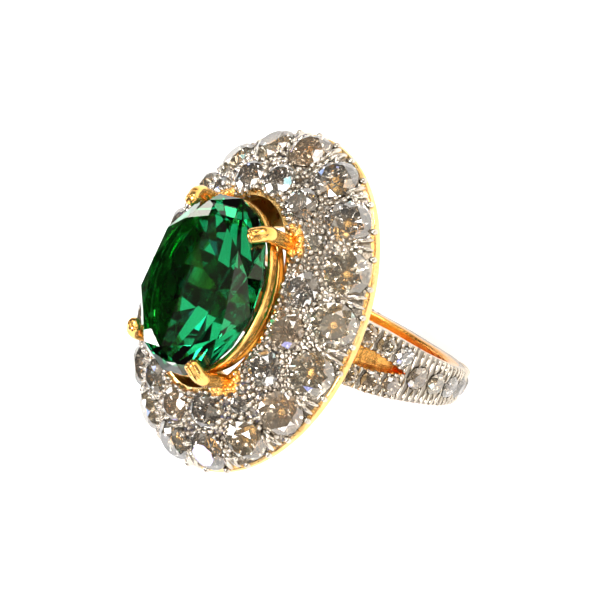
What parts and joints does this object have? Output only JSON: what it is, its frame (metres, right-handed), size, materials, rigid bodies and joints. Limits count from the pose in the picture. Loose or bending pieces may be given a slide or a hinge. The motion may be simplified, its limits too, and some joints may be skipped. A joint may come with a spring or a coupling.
{
  "type": "cocktail ring",
  "caption": "Cocktail ring: large oval green stone in a gold claw basket, on a domed oval head paved with clear stones, over a tapering split shank set with small stones.",
  "frame": {"origin": "centre of the finger hole, half way along the finger", "axes": "+Y along the finger, +Z from the finger to the centre stone, +X across the finger, so the head's long axis is Y"},
  "size_m": [0.0232, 0.0276, 0.0287],
  "materials": {
    "gold": "polished yellow gold",
    "rhodium": "rhodium-white plating on gold, polished beads and bright-cut edges",
    "clear_stone": "faceted colourless stone",
    "green_stone": "faceted deep green stone"
  },
  "bodies": {
    "root": {"shank": "gold", "gold_rim_plate": "gold", "basket_lower_rail": "gold", "basket_upper_rail": "gold", "claw_1": "gold", "claw_2": "gold", "claw_3": "gold", "claw_4": "gold", "pave_dome": "rhodium", "centre_stone": "green_stone", "pave_outer_1": "clear_stone", "pave_outer_2": "clear_stone", "pave_outer_3": "clear_stone", "pave_outer_4": "clear_stone", "pave_outer_5": "clear_stone", "pave_outer_6": "clear_stone", "pave_outer_7": "clear_stone", "pave_outer_8": "clear_stone", "pave_outer_9": "clear_stone", "pave_outer_10": "clear_stone", "pave_outer_11": "clear_stone", "pave_outer_12": "clear_stone", "pave_outer_13": "clear_stone", "pave_outer_14": "clear_stone", "pave_outer_15": "clear_stone", "pave_outer_16": "clear_stone", "pave_outer_17": "clear_stone", "pave_outer_18": "clear_stone", "pave_inner_1": "clear_stone", "pave_inner_2": "clear_stone", "pave_inner_3": "clear_stone", "pave_inner_4": "clear_stone", "pave_inner_5": "clear_stone", "pave_inner_6": "clear_stone", "pave_inner_7": "clear_stone", "pave_inner_8": "clear_stone", "pave_inner_9": "clear_stone", "pave_inner_10": "clear_stone", "pave_inner_11": "clear_stone", "pave_inner_12": "clear_stone", "pave_inner_13": "clear_stone", "pave_inner_14": "clear_stone", "pave_inner_15": "clear_stone", "pave_inner_16": "clear_stone", "shank_stone_left_1": "clear_stone", "shank_stone_left_2": "clear_stone", "shank_stone_left_3": "clear_stone", "shank_stone_left_4": "clear_stone", "shank_stone_left_5": "clear_stone", "shank_stone_left_6": "clear_stone", "shank_stone_left_7": "clear_stone", "shank_stone_left_8": "clear_stone", "shank_stone_right_1": "clear_stone", "shank_stone_right_2": "clear_stone", "shank_stone_right_3": "clear_stone", "shank_stone_right_4": "clear_stone", "shank_stone_right_5": "clear_stone", "shank_stone_right_6": "clear_stone", "shank_stone_right_7": "clear_stone", "shank_stone_right_8": "clear_stone"}
  },
  "joints": []
}
